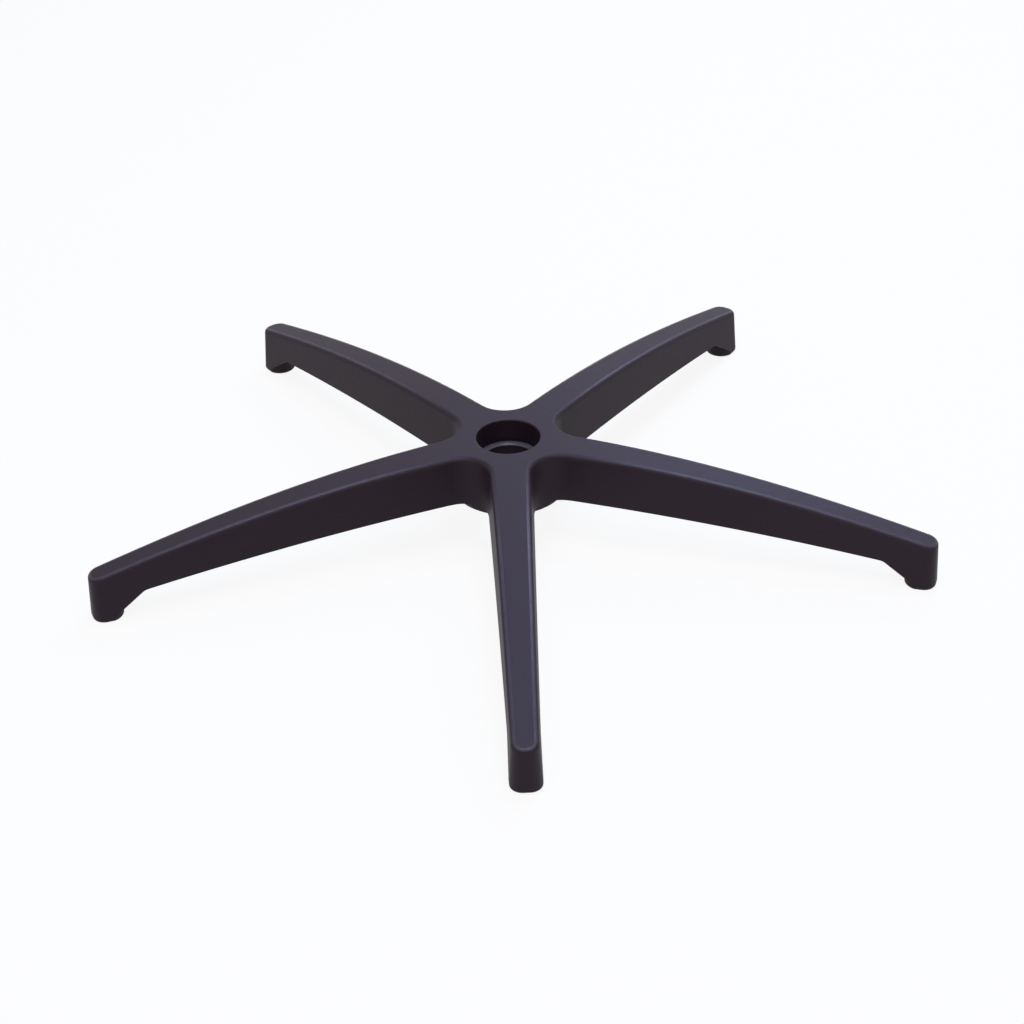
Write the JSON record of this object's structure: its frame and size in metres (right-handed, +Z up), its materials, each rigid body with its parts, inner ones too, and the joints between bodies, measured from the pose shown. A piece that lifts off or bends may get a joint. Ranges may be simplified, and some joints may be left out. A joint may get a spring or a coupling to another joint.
{
  "type": "office chair base",
  "caption": "Star-shaped swivel chair base moulded in one piece, with slim arching arms, a tapered central socket for the gas column and a round foot with a caster socket under each tip.",
  "frame": {"origin": "on the axis of the column socket, at the height where the caster feet end, which is the centre of the circle of caster sockets", "axes": "+Z up along the column socket, -Y along the first arm, +X to the right of it"},
  "size_m": [0.663, 0.6315, 0.085],
  "materials": {
    "black_nylon": "satin black glass-filled nylon, finely grained"
  },
  "bodies": {
    "root": {"star_base": "black_nylon"}
  },
  "joints": []
}
